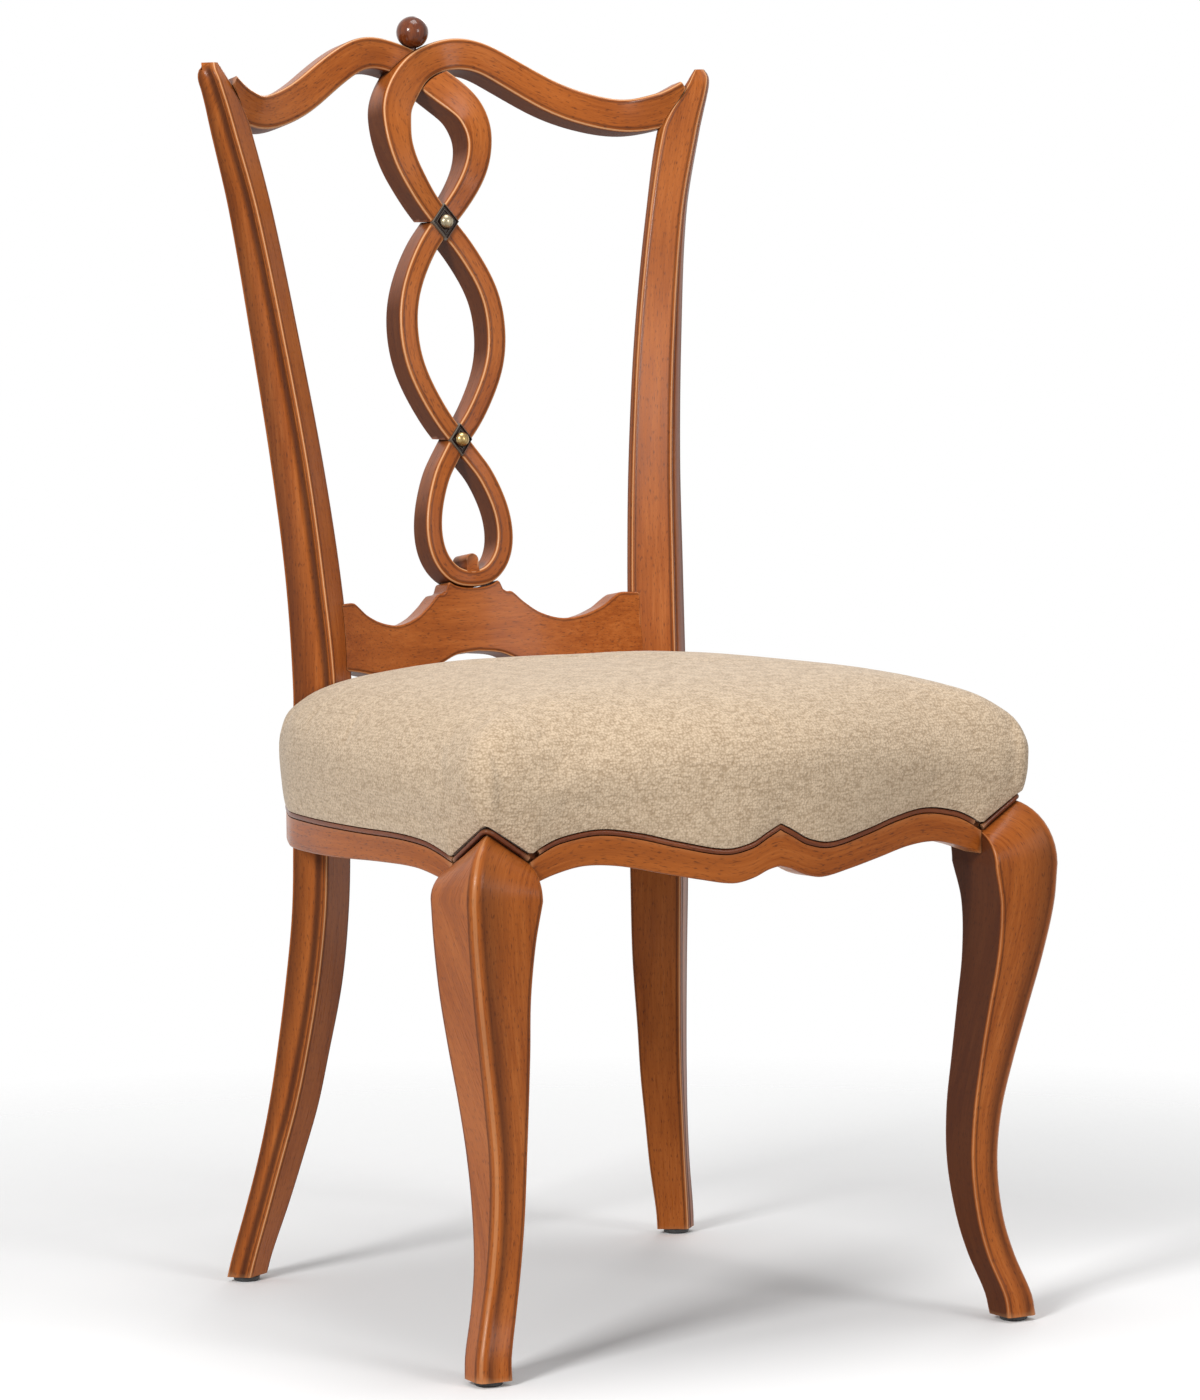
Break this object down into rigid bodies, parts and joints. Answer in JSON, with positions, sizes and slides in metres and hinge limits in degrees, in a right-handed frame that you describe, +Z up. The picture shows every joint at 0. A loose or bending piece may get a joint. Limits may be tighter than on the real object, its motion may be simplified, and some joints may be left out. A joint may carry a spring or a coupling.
{
  "type": "upholstered dining chair",
  "caption": "Dining chair with cabriole front legs, raked rear posts, an interlaced-ribbon back under curved crest rails, and a seat upholstered over scalloped rails.",
  "frame": {"origin": "on the floor, at the centre of the bounding box in plan", "axes": "+Z up, the chair faces -Y, +X to the right of a person looking at its front"},
  "size_m": [0.5036, 0.5999, 1.0092],
  "materials": {
    "wood": "satin lacquer over warm honey-cherry stain, edges and creases glazed darker",
    "cherry_wood": "glossy dark cherry lacquer",
    "bead_wood": "dark satin lacquer",
    "block_wood": "unfinished pale wood",
    "ebonised_wood": "near-black satin",
    "lining": "matt black lining cloth",
    "glide": "matt black",
    "steel": "plain zinc-plated",
    "fabric": "matt pebbly woven beige cloth",
    "webbing": "matt woven jute",
    "bronze": "antique bronze, softly polished"
  },
  "bodies": {
    "root": {"back_cross_rail": "wood", "ball_finial": "cherry_wood", "bead_cap_left": "bead_wood", "bead_cap_right": "bead_wood", "bead_front": "bead_wood", "bead_rear": "bead_wood", "bead_side_left": "bead_wood", "bead_side_right": "bead_wood", "corner_block_front_left": "block_wood", "corner_block_front_right": "block_wood", "corner_block_rear_left": "block_wood", "corner_block_rear_right": "block_wood", "crest_rail_left": "wood", "crest_rail_right": "wood", "diamond_lower": "ebonised_wood", "diamond_upper": "ebonised_wood", "dust_cover": "lining", "front_leg_left": "wood", "front_leg_right": "wood", "front_rail": "wood", "glide_front_left": "glide", "glide_front_right": "glide", "glide_rear_left": "glide", "glide_rear_right": "glide", "loop_dowel": "block_wood", "rear_post_left": "wood", "rear_post_right": "wood", "rear_seat_rail": "wood", "screw_front_left_high": "steel", "screw_front_left_low": "steel", "screw_front_right_high": "steel", "screw_front_right_low": "steel", "screw_rear_left_high": "steel", "screw_rear_left_low": "steel", "screw_rear_right_high": "steel", "screw_rear_right_low": "steel", "seat_cushion": "fabric", "seat_webbing": "webbing", "side_rail_left": "wood", "side_rail_right": "wood", "splat_lower_loop": "wood", "splat_middle_left": "wood", "splat_middle_right": "wood", "stud_lower": "bronze", "stud_upper": "bronze"}
  },
  "joints": []
}
